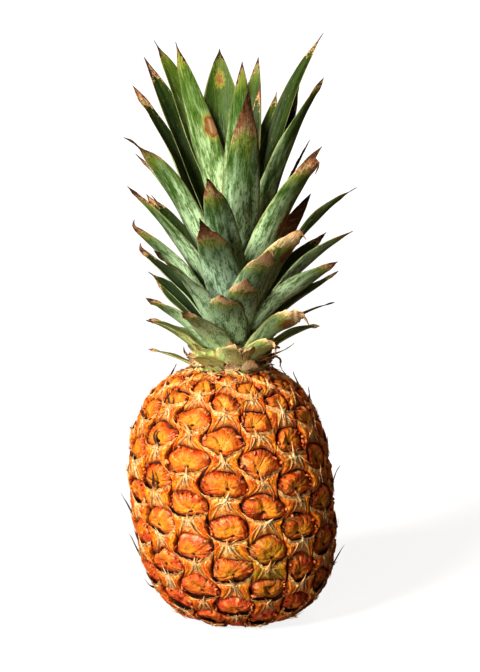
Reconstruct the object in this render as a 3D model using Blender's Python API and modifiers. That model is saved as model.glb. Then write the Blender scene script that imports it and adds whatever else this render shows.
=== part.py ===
"""Whole pineapple standing on its cut base: the fruit, the cut stalk under it,
and the crown's stem with 57 leaves. Metres, +Z up, origin at the middle of the base."""
import bpy
import bmesh
from math import atan2, cos, pi, radians, sin, tan

# Fruit
FRUIT_RADIUS = 0.0560        # widest, between the eyes
WIDEST_HEIGHT = 0.068
LOWER_REACH = 0.0708         # half-height that the lower outline is drawn with
LOWER_ROUNDNESS = 2.8        # power of the rounded outline below the widest place
UPPER_REACH = 0.074
UPPER_ROUNDNESS = 2.65
FRUIT_TOP = 0.141
OUTLINE_STEPS = 34
FRUIT_SIDES = 64
AXIS_BOW = -0.0070           # the fruit's middle line bows toward -X on its way up
BOW_HEIGHT = 0.115

# Eyes, on one spiral with 17 upright columns
EYE_COLUMNS = 17
EYE_TURN = radians(-42.352)  # turn from one eye to the next one up the spiral
EYE_RISE = 0.001386          # climb along the skin from one eye to the next
EYE_START = radians(18.9)
EYE_LIFT = 0.0026
EYE_CROWDING = 0.41          # how the climb shrinks toward the narrow ends
EYE_FADE = 0.010             # length of skin at each end over which the eyes fade

# Cut stalk in the middle of the base
STALK_RADIUS = 0.0105
STALK_LENGTH = 0.012
GAP = 0.0003                 # clearance between pieces that touch

# Crown
STEM_RADIUS = 0.0165
STEM_LENGTH = 0.082
STEM_TAPER = 0.80
STEM_SIDES = 32
STEM_STEPS = 12
CROWN_BASE = FRUIT_TOP + GAP
CROWN_SHIFT = -0.0052        # the crown's foot, left of the origin
CROWN_LEAN = tan(radians(3.0))
LEAF_STATIONS = (0.0, 0.14, 0.34, 0.55, 0.74, 0.89, 1.0)
LEAF_ACROSS = 5
LEAF_REACH_ROUND = radians(62.0)    # furthest that a leaf wraps the stem to each side
LEAF_THICKNESS = 0.0012
CHANNEL_RADIUS = 0.016
PATH_STEPS = 30
CURL_START = 0.45            # share of a leaf's length where it begins to curl
CURL_REACH = 0.60

# One row for each leaf, from the lowest up:
# azimuth in degrees (0 faces -Y, 90 faces +X), seat height on the stem, length, width in mm,
# then how many degrees it stands up and curls over
LEAVES = (
    (-85, 0.5, 32, 12, 0, 0), (180, 1.5, 26, 20, 0, 0), (-35, 2.0, 27, 20, 0, 0),
    (5, 4.5, 38, 22, 0, 0), (35, 6.5, 32, 20, 2, 28), (-165, 6.5, 38, 20, 0, 0),
    (104, 7.5, 38, 13, 4, 22), (-64, 8.0, 43, 16, 8, 5), (-110, 10.5, 39, 17, -4, 0),
    (-24, 12.0, 55, 19, 2, -5), (48, 12.5, 48, 19, 7, 17), (-183, 12.5, 52, 20, 0, 0),
    (-63, 14.0, 48, 18, 8, 0), (116, 14.0, 54, 14, -4, 4), (-135, 17.0, 58, 17, 0, -4),
    (-6, 17.0, 59, 22, 4, 0), (155, 18.0, 62, 19, 0, 0), (111, 20.5, 58, 17, 0, -10),
    (-117, 21.0, 52, 16, 4, 0), (5, 21.5, 72, 20, -1, 0), (-170, 22.5, 68, 19, 0, 0),
    (-36, 23.5, 75, 18, 5, -6), (52, 24.0, 67, 19, 2, 0), (-119, 26.0, 67, 18, 0, -11),
    (13, 26.5, 79, 21, 2, 0), (136, 26.5, 78, 18, 2, -4), (74, 29.0, 72, 16, 8, 10),
    (-160, 29.5, 80, 19, 0, 0), (26, 31.0, 84, 22, 1, 0), (-62, 31.5, 75, 17, 4, 0),
    (-14, 33.5, 87, 23, -2, 0), (-135, 34.5, 91, 18, 0, -10), (104, 35.5, 86, 15, 6, 15),
    (-57, 37.5, 88, 19, 4, 0), (150, 39.0, 94, 17, -7, -12), (-97, 39.0, 70, 15, 5, 0),
    (-12, 40.5, 98, 21, -1, 0), (-133, 42.5, 109, 18, 0, 4), (36, 43.0, 101, 20, 7, 15),
    (153, 45.0, 114, 18, -3, -7), (-56, 45.5, 107, 20, 6, 16), (-165, 48.5, 108, 19, 0, 0),
    (80, 49.5, 83, 15, 11, 15), (1, 51.0, 122, 22, 1, 0), (-128, 52.5, 133, 20, 0, 3),
    (163, 55.5, 119, 18, 0, 0), (45, 57.0, 115, 21, 5, 9), (-121, 58.0, 134, 20, 2, 3),
    (-2, 61.0, 116, 20, 0, -7), (124, 62.5, 112, 16, 5, 0), (-47, 64.5, 123, 23, 0, -3),
    (174, 66.0, 118, 16, 2, 7), (-115, 69.5, 129, 18, -4, 10), (118, 70.0, 127, 16, -1, 15),
    (-162, 75.5, 116, 17, -8, -25), (2, 76.5, 84, 13, 3, 6), (150, 79.0, 82, 10, 0, 0),
)

SKIN_ORANGE = (0.72, 0.25, 0.035)
STALK_TAN = (0.50, 0.36, 0.19)
STEM_CREAM = (0.55, 0.55, 0.30)
LEAF_GREEN = (0.17, 0.30, 0.16)


def clear_scene():
    """Remove everything that the startup file holds."""
    for thing in list(bpy.data.objects):
        bpy.data.objects.remove(thing, do_unlink=True)


def plain_material(name, colour, roughness):
    """A Principled material with one colour."""
    material = bpy.data.materials.new(name)
    material.use_nodes = True
    shader = material.node_tree.nodes["Principled BSDF"]
    shader.inputs["Base Color"].default_value = (*colour, 1.0)
    shader.inputs["Roughness"].default_value = roughness
    shader.inputs["Metallic"].default_value = 0.0
    return material


def add_object(name, mesh, material, collection):
    """Put a mesh in the collection as a smooth object with its own material."""
    thing = bpy.data.objects.new(name, mesh)
    mesh.materials.append(material)
    for face in mesh.polygons:
        face.use_smooth = True
    collection.objects.link(thing)
    return thing


def turned_mesh(name, outline, sides, collection):
    """Turn an outline of (radius, height) points about Z, closed at the axis."""
    mesh = bpy.data.meshes.new(name + "_outline")
    points = [(radius, 0.0, height) for radius, height in outline]
    mesh.from_pydata(points, [(i, i + 1) for i in range(len(points) - 1)], [])
    turned = bpy.data.objects.new(name + "_outline", mesh)
    collection.objects.link(turned)
    screw = turned.modifiers.new("turn", "SCREW")
    screw.axis = "Z"
    screw.angle = 2 * pi
    screw.steps = sides
    screw.render_steps = sides
    screw.use_merge_vertices = True
    screw.merge_threshold = 0.00001
    screw.use_smooth_shade = True
    depsgraph = bpy.context.evaluated_depsgraph_get()
    solid = bpy.data.meshes.new_from_object(turned.evaluated_get(depsgraph))
    solid.name = name
    bpy.data.objects.remove(turned, do_unlink=True)
    shape = bmesh.new()
    shape.from_mesh(solid)
    bmesh.ops.remove_doubles(shape, verts=shape.verts, dist=0.00001)
    bmesh.ops.recalc_face_normals(shape, faces=shape.faces)
    shape.to_mesh(solid)
    shape.free()
    return solid


def fruit_radius(height):
    """Radius of the skin between the eyes, at a height above the base."""
    below = height < WIDEST_HEIGHT
    reach = LOWER_REACH if below else UPPER_REACH
    power = LOWER_ROUNDNESS if below else UPPER_ROUNDNESS
    part = min(abs(height - WIDEST_HEIGHT) / reach, 1.0)
    return FRUIT_RADIUS * (1.0 - part ** power) ** (1.0 / power)


def axis_shift(height):
    """How far the fruit's middle line has bowed along X at a height."""
    return AXIS_BOW * (1.0 - cos(pi * height / BOW_HEIGHT)) / 2.0


def skin_outline():
    """Points (radius, height) of the skin from the base to the top, closer at the ends."""
    middle = FRUIT_TOP / 2.0
    heights = [middle - middle * cos(pi * i / OUTLINE_STEPS) for i in range(OUTLINE_STEPS + 1)]
    return [(fruit_radius(height), height) for height in heights]


def skin_lengths(outline):
    """Length along the skin from the base to each outline point."""
    lengths = [0.0]
    for (r0, z0), (r1, z1) in zip(outline, outline[1:]):
        lengths.append(lengths[-1] + ((r1 - r0) ** 2 + (z1 - z0) ** 2) ** 0.5)
    return lengths


def read_along(value, inputs, outputs):
    """Straight-line reading of outputs at a value of the rising inputs."""
    for i in range(1, len(inputs)):
        if value <= inputs[i]:
            part = (value - inputs[i - 1]) / (inputs[i] - inputs[i - 1])
            return outputs[i - 1] + part * (outputs[i] - outputs[i - 1])
    return outputs[-1]


def read_azimuth(x, y):
    """Azimuth of a place: 0 faces -Y and a quarter turn faces +X."""
    return atan2(x, -y)


def eye_places(outline, lengths):
    """Azimuth, length along the skin, and climb of each eye on the spiral."""
    radii = [radius for radius, height in outline]
    places = []
    along = 0.0
    turn = EYE_START
    while along < lengths[-1]:
        narrow = (read_along(along, lengths, radii) / FRUIT_RADIUS) ** EYE_CROWDING
        places.append((turn, along, narrow))
        along += EYE_RISE * narrow
        turn += EYE_TURN
    return places


def eye_height(azimuth, along, radius, eyes):
    """Lift of the skin at a place, as the dome of the nearest eye."""
    nearest = 1.0
    half_width = pi * radius / EYE_COLUMNS * 1.12
    for turn, middle, narrow in eyes:
        half_tall = EYE_RISE * EYE_COLUMNS * narrow * 0.31
        up = (along - middle) / half_tall
        if abs(up) < 1.0:
            side = (azimuth - turn + pi) % (2 * pi) - pi
            nearest = min(nearest, up * up + (side * radius / half_width) ** 2)
    return EYE_LIFT * (1.0 - nearest) ** 0.7


def make_fruit(collection):
    """The fruit: a turned body with a dome for each eye and a socket for the stalk."""
    skin = skin_outline()
    lengths = skin_lengths(skin)
    socket_radius = STALK_RADIUS + GAP
    socket_top = STALK_LENGTH + GAP
    socket = [(0.0, socket_top), (socket_radius, socket_top), (socket_radius, 0.0)]
    mesh = turned_mesh("fruit", socket + skin + [(0.0, FRUIT_TOP)], FRUIT_SIDES, collection)
    eyes = eye_places(skin, lengths)
    heights = [height for radius, height in skin]
    for vertex in mesh.vertices:
        x, y, z = vertex.co
        radius = (x * x + y * y) ** 0.5
        on_skin = radius > fruit_radius(z) - 0.00005 and 0.0 < z < FRUIT_TOP
        if on_skin:
            along = read_along(z, heights, lengths)
            azimuth = read_azimuth(x, y)
            fade = min(along, lengths[-1] - along, EYE_FADE) / EYE_FADE
            lift = fade * eye_height(azimuth, along, radius, eyes)
            grow = 1.0 + lift / radius
            x, y = x * grow, y * grow
        vertex.co = (x + axis_shift(z), y, z)
    add_object("fruit", mesh, plain_material("fruit_skin", SKIN_ORANGE, 0.45), collection)


def make_stalk(collection):
    """The stub of the stalk, cut level with the base of the fruit."""
    edge = 0.0008
    outline = [(0.0, 0.0), (STALK_RADIUS - edge, 0.0), (STALK_RADIUS, edge),
               (STALK_RADIUS, STALK_LENGTH), (0.0, STALK_LENGTH)]
    mesh = turned_mesh("cut_stalk", outline, STEM_SIDES, collection)
    add_object("cut_stalk", mesh, plain_material("stalk_fibre", STALK_TAN, 0.8), collection)


def stem_radius(share):
    """Radius of the crown's stem at a share of its length from 0 to 1."""
    return STEM_RADIUS * (1.0 - STEM_TAPER * share ** 1.5)


def crown_place(x, y, height):
    """Move a point of the upright crown to its place on the leaning one."""
    return (x + CROWN_SHIFT + CROWN_LEAN * height, y, height + CROWN_BASE)


def make_crown_stem(collection):
    """The short stem inside the crown, which carries every leaf."""
    shares = [i / STEM_STEPS for i in range(STEM_STEPS + 1)]
    outline = [(stem_radius(share), STEM_LENGTH * share) for share in shares]
    outline = [(0.0, 0.0)] + outline + [(0.0, STEM_LENGTH + 0.001)]
    mesh = turned_mesh("crown_stem", outline, STEM_SIDES, collection)
    for vertex in mesh.vertices:
        vertex.co = crown_place(*vertex.co)
    add_object("crown_stem", mesh, plain_material("stem_flesh", STEM_CREAM, 0.6), collection)


def curl_share(part):
    """How much of a leaf's curl it has taken on: none at its foot, nearly all at its tip."""
    reached = min(max((part - CURL_START) / CURL_REACH, 0.0), 1.0)
    return (reached * reached * (3.0 - 2.0 * reached)) ** 1.3


def leaf_path(share, stand, curl, length, part):
    """Distance from the axis, height and lean of a leaf's middle line.
    Low leaves leave the stem wide and bend outward, and high ones stand nearly upright."""
    lean = radians(57.0 * (1.0 - share) ** 0.95 + 3.0 - stand)
    bend = radians(500.0 * (1.0 - share) ** 1.7 + 50.0)
    out = stem_radius(share) + LEAF_THICKNESS
    up = STEM_LENGTH * share
    step = length * part / PATH_STEPS
    for number in range(PATH_STEPS):
        middle = part * (number + 0.5) / PATH_STEPS
        turned = lean + bend * length * middle + radians(curl) * curl_share(middle)
        out += step * sin(turned)
        up += step * cos(turned)
    turned = lean + bend * length * part + radians(curl) * curl_share(part)
    return out, up, turned


def leaf_width(part):
    """Width of a leaf, as a share of its widest, from its foot at 0 to its tip at 1."""
    return max((0.88 + 0.12 * min(part / 0.2, 1.0)) * (1.0 - part ** 3.0) ** 0.95, 0.05)


def make_leaf(number, row, material, collection):
    """One leaf: a channelled blade that wraps the stem at its foot and ends in a point."""
    name = f"leaf_{number:02d}"
    shape = bmesh.new()
    bmesh.ops.create_grid(shape, x_segments=LEAF_ACROSS - 1, y_segments=len(LEAF_STATIONS) - 1,
                          size=1.0)
    thin = shape.verts.layers.deform.verify()
    azimuth, seat, length, width, stand, curl = row
    turn = radians(azimuth)
    share = seat / 1000.0 / STEM_LENGTH
    for vertex in shape.verts:
        across = vertex.co.x
        station = round((vertex.co.y + 1.0) / 2.0 * (len(LEAF_STATIONS) - 1))
        part = LEAF_STATIONS[station]
        out, up, lean = leaf_path(share, stand, curl, length / 1000.0, part)
        half_width = width / 2000.0 * leaf_width(part)
        half_angle = min(half_width / out, LEAF_REACH_ROUND)
        angle = turn + across * half_angle
        side = half_angle * out * across
        cup = side * side / 2.0 * max(1.0 / CHANNEL_RADIUS - 1.0 / out, 0.0)
        out -= cup * cos(lean)
        up += cup * sin(lean)
        vertex[thin][0] = (1.0 - 0.55 * part) * (1.0 - 0.5 * across * across)
        vertex.co = crown_place(out * sin(angle), -out * cos(angle), up)
    mesh = bpy.data.meshes.new(name)
    bmesh.ops.recalc_face_normals(shape, faces=shape.faces)
    shape.to_mesh(mesh)
    shape.free()
    leaf = add_object(name, mesh, material, collection)
    leaf.vertex_groups.new(name="thickness")
    solid = leaf.modifiers.new("blade", "SOLIDIFY")
    solid.thickness = LEAF_THICKNESS * (1.0 - 0.3 * share)
    solid.offset = 0.0
    solid.vertex_group = "thickness"


def main():
    clear_scene()
    collection = bpy.data.collections.new("pineapple")
    bpy.context.scene.collection.children.link(collection)
    make_fruit(collection)
    make_stalk(collection)
    make_crown_stem(collection)
    for number, row in enumerate(LEAVES, start=1):
        green = plain_material(f"leaf_{number:02d}_green", LEAF_GREEN, 0.55)
        make_leaf(number, row, green, collection)


main()
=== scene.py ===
"""Looks of a whole ripe pineapple: rind with its eyes and bracts, crown of leaves, light and camera."""
from math import cos, pi, radians, tan

import bpy
import numpy as np
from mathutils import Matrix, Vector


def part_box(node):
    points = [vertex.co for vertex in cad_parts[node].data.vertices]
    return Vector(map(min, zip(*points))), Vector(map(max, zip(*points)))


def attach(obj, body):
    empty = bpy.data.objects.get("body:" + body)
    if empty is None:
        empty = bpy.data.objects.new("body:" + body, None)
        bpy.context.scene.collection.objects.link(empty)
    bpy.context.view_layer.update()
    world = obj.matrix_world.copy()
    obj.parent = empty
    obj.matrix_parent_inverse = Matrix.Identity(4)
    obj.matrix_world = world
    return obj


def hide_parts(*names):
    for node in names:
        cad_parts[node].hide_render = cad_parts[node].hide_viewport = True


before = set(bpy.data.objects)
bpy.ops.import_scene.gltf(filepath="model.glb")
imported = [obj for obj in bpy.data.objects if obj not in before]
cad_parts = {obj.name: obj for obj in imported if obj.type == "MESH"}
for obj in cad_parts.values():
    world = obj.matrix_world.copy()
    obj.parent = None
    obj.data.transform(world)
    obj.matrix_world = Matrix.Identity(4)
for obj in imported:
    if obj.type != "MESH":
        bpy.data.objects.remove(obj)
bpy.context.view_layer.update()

# ---------------------------------------------------------------- sizes, in metres
FRUIT_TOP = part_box("fruit")[1].z
FRUIT_RADIUS = 0.0560
WIDEST_HEIGHT = 0.068
HALFWAY_UP = 0.075           # length up the skin where the rind's pieces are parted
LOWER_REACH, LOWER_ROUNDNESS = 0.0708, 2.8
UPPER_REACH, UPPER_ROUNDNESS = 0.074, 2.65
AXIS_BOW, BOW_HEIGHT = -0.0070, 0.115

EYE_COLUMNS = 17
EYE_TURN = radians(-42.352)
EYE_RISE = 0.001386
EYE_START = radians(18.9)
EYE_CROWDING = 0.41
EYE_SINK = 0.0018            # how far an eye's middle sits below its place on the spiral
HALF_WIDE = 0.0123           # half of an eye's width, at the widest of the fruit
HALF_UP = 0.0083
HALF_DOWN = 0.0066
PITCH_UP = EYE_RISE * EYE_COLUMNS
FAN_ROOT = 0.0068            # how far below an eye's middle its bract's fibres start
POINTS_START = 0.011         # the lowest length up the skin that has dry points
FLOOR_DEPTH = 0.0013         # the crevices' floor under the rind's outline

STALK_RADIUS = 0.0105
STALK_HEIGHT = 0.0115
UNDER_POINTS = 16            # points of the skin's outline under the base, and up its side
SIDE_POINTS = 241

CROWN_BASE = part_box("crown_stem")[0].z
STEM_LENGTH = 0.082
STEM_RADIUS = 0.0165
STEM_TAPER = 0.80
CROWN_SHIFT = -0.0052
CROWN_LEAN = tan(radians(3.0))
LEAF_THICKNESS = 0.0012
SCALE_THICKNESS = 0.0008
OUTER_SCALES = 0.0175        # scales set further out than this are mostly dry
LEAF_REACH_ROUND = radians(62.0)   # furthest that a leaf wraps the stem to each side
CURL_START, CURL_END = 0.45, 1.05  # shares of a leaf's length between which it curls over

# azimuth in degrees (0 faces -Y, 90 faces +X), seat height on the stem, length, width in mm,
# then how it grew: degrees it stands up, curls over and twists, percent dried, percent yellow
LEAVES = (
    (-85, 0.5, 32, 12, 0, 0, 0, 15, 80), (180, 1.5, 26, 20, 0, 0, 0, 12, 80),
    (-35, 2.0, 27, 20, 0, 0, 0, 15, 90), (5, 4.5, 38, 22, 0, 0, 0, 25, 60),
    (35, 6.5, 32, 20, 2, 28, 20, 30, 70), (-165, 6.5, 38, 20, 0, 0, 0, 12, 80),
    (104, 7.5, 38, 13, 4, 22, -12, 10, 70), (-64, 8.0, 43, 16, 8, 5, 0, 10, 90),
    (-110, 10.5, 39, 17, -4, 0, 0, 12, 80), (-24, 12.0, 55, 19, 2, -5, 0, 16, 35),
    (48, 12.5, 48, 19, 7, 17, 35, 38, 45), (-183, 12.5, 52, 20, 0, 0, 0, 12, 60),
    (-63, 14.0, 48, 18, 8, 0, -12, 16, 40), (116, 14.0, 54, 14, -4, 4, 12, 10, 60),
    (-135, 17.0, 58, 17, 0, -4, 25, 12, 45), (-6, 17.0, 59, 22, 4, 0, 0, 30, 30),
    (155, 18.0, 62, 19, 0, 0, 0, 12, 55), (111, 20.5, 58, 17, 0, -10, 0, 12, 40),
    (-117, 21.0, 52, 16, 4, 0, 10, 12, 40), (5, 21.5, 72, 20, -1, 0, 0, 34, 5),
    (-170, 22.5, 68, 19, 0, 0, 0, 12, 55), (-36, 23.5, 75, 18, 5, -6, 20, 12, 35),
    (52, 24.0, 67, 19, 2, 0, 25, 12, 40), (-119, 26.0, 67, 18, 0, -11, 0, 14, 40),
    (13, 26.5, 79, 21, 2, 0, 0, 30, 20), (136, 26.5, 78, 18, 2, -4, -12, 14, 75),
    (74, 29.0, 72, 16, 8, 10, 25, 9, 45), (-160, 29.5, 80, 19, 0, 0, 0, 12, 55),
    (26, 31.0, 84, 22, 1, 0, 0, 28, 50), (-62, 31.5, 75, 17, 4, 0, -17, 13, 40),
    (-14, 33.5, 87, 23, -2, 0, 0, 27, 15), (-135, 34.5, 91, 18, 0, -10, 6, 12, 30),
    (100, 36.5, 86, 17, 10, 15, 35, 7, 75), (-57, 37.5, 88, 19, 4, 0, 0, 14, 40),
    (150, 38.5, 94, 18, -9, -12, -25, 50, 60), (-102, 39.5, 70, 16, 8, 0, 35, 12, 55),
    (-12, 40.5, 98, 21, -1, 0, 0, 18, 20), (-133, 42.5, 109, 18, 0, 4, -27, 14, 45),
    (36, 43.0, 101, 20, 7, 15, 5, 18, 45), (153, 45.0, 114, 18, -3, -7, 30, 55, 60),
    (-56, 45.5, 107, 20, 6, 16, -20, 15, 45), (-165, 48.5, 108, 19, 0, 0, 0, 12, 55),
    (79, 50.0, 83, 16, 12, 15, 32, 12, 55), (1, 51.0, 122, 22, 1, 0, 0, 23, 35),
    (-128, 52.5, 133, 20, 0, 3, -6, 12, 70), (163, 55.5, 119, 18, 0, 0, 0, 6, 90),
    (45, 57.0, 115, 21, 5, 9, -12, 5, 50), (-121, 58.0, 134, 20, 2, 3, 25, 9, 75),
    (-2, 61.0, 116, 20, 0, -7, 0, 6, 45), (124, 63.0, 112, 18, 6, 0, -29, 20, 80),
    (-47, 64.5, 123, 23, 0, -3, -15, 5, 60), (173, 65.5, 118, 18, 4, 7, 0, 5, 85),
    (-117, 68.5, 129, 22, -4, 10, 30, 6, 95), (121, 70.5, 127, 19, 0, 15, -8, 8, 85),
    (-160, 73.0, 116, 34, -11, -25, 19, 1, 70), (2, 76.5, 84, 13, 3, 6, -14, 12, 55),
    (150, 79.0, 82, 10, 0, 0, -4, 12, 55),
)

# ends that fold over: share of the length where the fold is, degrees of the fold
FOLDED_ENDS = {4: (0.80, 75), 5: (0.78, 80), 11: (0.80, 60), 16: (0.90, 40), 25: (0.90, 60),
               29: (0.88, 60), 39: (0.90, 150), 41: (0.93, 15), 24: (0.92, -50),
               30: (0.93, -70), 37: (0.93, 50)}

# brown damage: share of the length, place across, its length and width as shares, its depth
DAMAGE = {51: (0.605, 0.80, 0.045, 0.36, 1.3), 55: (0.85, 0.0, 0.045, 0.42, 0.62),
          29: (0.62, 0.5, 0.10, 0.4, 0.8), 39: (0.45, 0.6, 0.09, 0.4, 0.8),
          26: (0.5, -0.6, 0.2, 0.4, 0.8), 11: (0.60, 0.3, 0.16, 0.5, 0.8)}

# leaves whose dried end is straw-coloured, and how much of the inner faces' painted shade the sunlit
# ones keep
STRAW_ENDS = (1, 2, 3, 4, 5, 7, 10, 11, 16, 20, 25, 29)
SUNLIT_INSIDE = {55: 0.55, 52: 0.6, 46: 0.8, 53: 0.30}


# rings of short scales at the crown's foot: count, radius, height, lean in degrees, length, width
FOOT_RINGS = ((10, 0.0186, -0.0010, 22, 0.0122, 0.0168), (11, 0.0168, 0.0012, 24, 0.0145, 0.0150),
              (10, 0.0165, 0.0040, 30, 0.0180, 0.0160))

# long dried strips at the foot: azimuth in degrees, length, how far they curl in radians
CURLED_STRIPS = ((60, 0.021, 2.2), (66, 0.017, 1.6), (52, 0.014, 2.0), (-80, 0.016, -1.4),
                 (98, 0.022, -0.6), (40, 0.012, 2.6))
DRIED_BRACTS = 44

# patches of the rind still green: azimuth in degrees, length up the skin, size
GREEN_SPOTS = ((16, 0.052, 0.015), (150, 0.060, 0.013), (-110, 0.035, 0.012), (78, 0.030, 0.011))


# ---------------------------------------------------------------- shader graph helpers
class Value:
    """A number or colour that a shader graph works out. Sums can be written with it."""

    def __init__(self, socket):
        self.socket = socket
        self.tree = socket.id_data

    def __add__(self, other):
        return calc("ADD", self, other)

    def __sub__(self, other):
        return calc("SUBTRACT", self, other)

    def __rsub__(self, other):
        return calc("SUBTRACT", other, self)

    def __mul__(self, other):
        return calc("MULTIPLY", self, other)

    def __pow__(self, other):
        return calc("POWER", self, other)

    def __abs__(self):
        return calc("ABSOLUTE", self)


def add_node(tree, kind, **settings):
    """A shader node with its settings."""
    made = tree.nodes.new("ShaderNode" + kind)
    for name, value in settings.items():
        setattr(made, name, value)
    return made


def put(socket, value):
    """Wire a socket to a worked-out value, or set it to a number or colour."""
    if isinstance(value, Value):
        value.tree.links.new(value.socket, socket)
    elif isinstance(value, tuple) and len(value) == 3 and len(socket.default_value) == 4:
        socket.default_value = (*value, 1.0)
    else:
        socket.default_value = value


def reading(tree, name):
    """A number that the mesh carries at each point."""
    return Value(add_node(tree, "Attribute", attribute_name=name).outputs["Fac"])


def read_all(tree, *names):
    """Several of the mesh's numbers at once."""
    return [reading(tree, name) for name in names]


def calc(operation, *terms, clamp=False):
    """One step of arithmetic."""
    tree = next(term.tree for term in terms if isinstance(term, Value))
    step = add_node(tree, "Math", operation=operation, use_clamp=clamp)
    for socket, term in zip(step.inputs, terms):
        put(socket, term)
    return Value(step.outputs[0])


def remap(value, low, high, to_low=0.0, to_high=1.0, smooth=True):
    """Value from one range to another, clamped."""
    step = add_node(value.tree, "MapRange", interpolation_type="SMOOTHSTEP" if smooth else "LINEAR")
    for name, number in (("Value", value), ("From Min", low), ("From Max", high),
                         ("To Min", to_low), ("To Max", to_high)):
        put(step.inputs[name], number)
    return Value(step.outputs[0])


def tint(share, first, second):
    """Mix of two colours."""
    mix = add_node(share.tree, "Mix", data_type="RGBA")
    for place, value in ((0, share), (6, first), (7, second)):
        put(mix.inputs[place], value)
    return Value(mix.outputs[2])


def colour_steps(value, steps):
    """Colour ramp from (place, colour) steps."""
    ramp = add_node(value.tree, "ValToRGB")
    places = ramp.color_ramp.elements
    while len(places) < len(steps):
        places.new(0.5)
    for element, (place, colour) in zip(places, steps):
        element.position = place
        element.color = (*colour, 1.0)
    put(ramp.inputs["Fac"], value)
    return Value(ramp.outputs["Color"])


def speckle(tree, scale, detail=3.0, rough=0.55, vector=None):
    """Cloudy noise between 0 and 1; its scale counts per metre unless a vector is given."""
    noise = add_node(tree, "TexNoise")
    vector = vector or Value(add_node(tree, "TexCoord").outputs["Object"])
    for name, value in (("Scale", scale), ("Detail", detail), ("Roughness", rough),
                        ("Vector", vector)):
        put(noise.inputs[name], value)
    return Value(noise.outputs["Fac"])


def place_vector(x, y, z):
    """A vector from three worked-out numbers."""
    joined = add_node(x.tree, "CombineXYZ")
    for socket, value in zip(joined.inputs, (x, y, z)):
        put(socket, value)
    return Value(joined.outputs[0])


def cover(shader, colour, height, strength, distance):
    """Give a shader its colour and the bumps of its surface."""
    bump = add_node(height.tree, "Bump")
    for name, value in (("Strength", strength), ("Distance", distance), ("Height", height)):
        put(bump.inputs[name], value)
    put(shader.inputs["Base Color"], colour)
    put(shader.inputs["Normal"], Value(bump.outputs["Normal"]))


def new_group(name, result, **inputs):
    """An empty shader group; returns its tree, its inputs as values and its result's socket."""
    tree = bpy.data.node_groups.new(name, "ShaderNodeTree")
    for label, default in inputs.items():
        socket = tree.interface.new_socket(label.replace("_", " "), in_out="INPUT",
                                           socket_type="NodeSocketFloat")
        socket.default_value = default
    tree.interface.new_socket(result, in_out="OUTPUT", socket_type="NodeSocketFloat")
    given = tree.nodes.new("NodeGroupInput").outputs
    values = [Value(given[label.replace("_", " ")]) for label in inputs]
    return tree, values, tree.nodes.new("NodeGroupOutput").inputs[result]


def use_group(tree, group, **values):
    """Place a group in a material with its own values; an underscore stands for a space."""
    made = add_node(tree, "Group", node_tree=group)
    for name, value in values.items():
        put(made.inputs[name.replace("_", " ")], value)
    return Value(made.outputs[0])


def new_material(name, roughness, wet=0.0):
    """An empty Principled material; returns it, its tree and its shader."""
    material = bpy.data.materials.new(name)
    material.use_nodes = True
    tree = material.node_tree
    shader = tree.nodes["Principled BSDF"]
    shader.inputs["Roughness"].default_value = roughness
    shader.inputs["Coat Weight"].default_value = wet
    shader.inputs["Coat Roughness"].default_value = 0.22
    return material, tree, shader


# ---------------------------------------------------------------- shared effects
def fibre_group():
    """Long streaks that run along a piece: Across and Along are its own coordinates."""
    tree, (across, along, seed, count, stretch), made = new_group(
        "fibre_streaks", "Streak", Across=0.0, Along=0.0, Seed=0.0, Count=10.0, Stretch=1.0)
    put(made, speckle(tree, 1.0, 4.0, 0.6, place_vector(across * count, along * stretch, seed * 37.0)))
    return tree


def mottle_group():
    """Soft patches with ragged edges: Patch is 1 inside them."""
    tree, (scale, amount, ragged), made = new_group(
        "mottling", "Patch", Patches_per_metre=200.0, Amount=0.5, Ragged=0.6)
    edge = remap(amount, 0.0, 1.0, 0.72, 0.30, smooth=False)
    put(made, remap(speckle(tree, scale, 6.0, ragged), edge, edge + 0.10))
    return tree


def dried_group():
    """How far a leaf has dried: 0 is fresh, 1 its driest end. Along runs from foot to tip."""
    tree, (along, start, wander), made = new_group(
        "dried_end", "Dry", Along=0.0, Start=0.85, Wander=0.06)
    moved = (speckle(tree, 420.0, 4.0, 0.65) - 0.5) * wander + along
    rest = calc("MAXIMUM", 1.0 - start, 0.02)
    put(made, calc("DIVIDE", moved - start, rest, clamp=True))
    return tree


FIBRES = fibre_group()
MOTTLING = mottle_group()
DRIED = dried_group()


def streaks(across, along, seed, count, stretch):
    """Fibre streaks over a piece that carries its own coordinates."""
    return use_group(across.tree, FIBRES, Across=across, Along=along, Seed=seed, Count=count,
                     Stretch=stretch)


# ---------------------------------------------------------------- materials
def crevice_material():
    """Floor of the grooves between the eyes: dark maroon, made near black as painted shade in the
    crevices.
    """
    material, tree, shader = new_material("crevice", 0.8)
    patch = speckle(tree, 500.0, 5.0)
    # near-black maroon: partly the rind's own dark maroon, partly painted shade in the crevices
    colour = tint(patch, (0.018, 0.003, 0.001), (0.11, 0.02, 0.004))
    cover(shader, colour, patch, 0.6, 0.0006)
    return material


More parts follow.
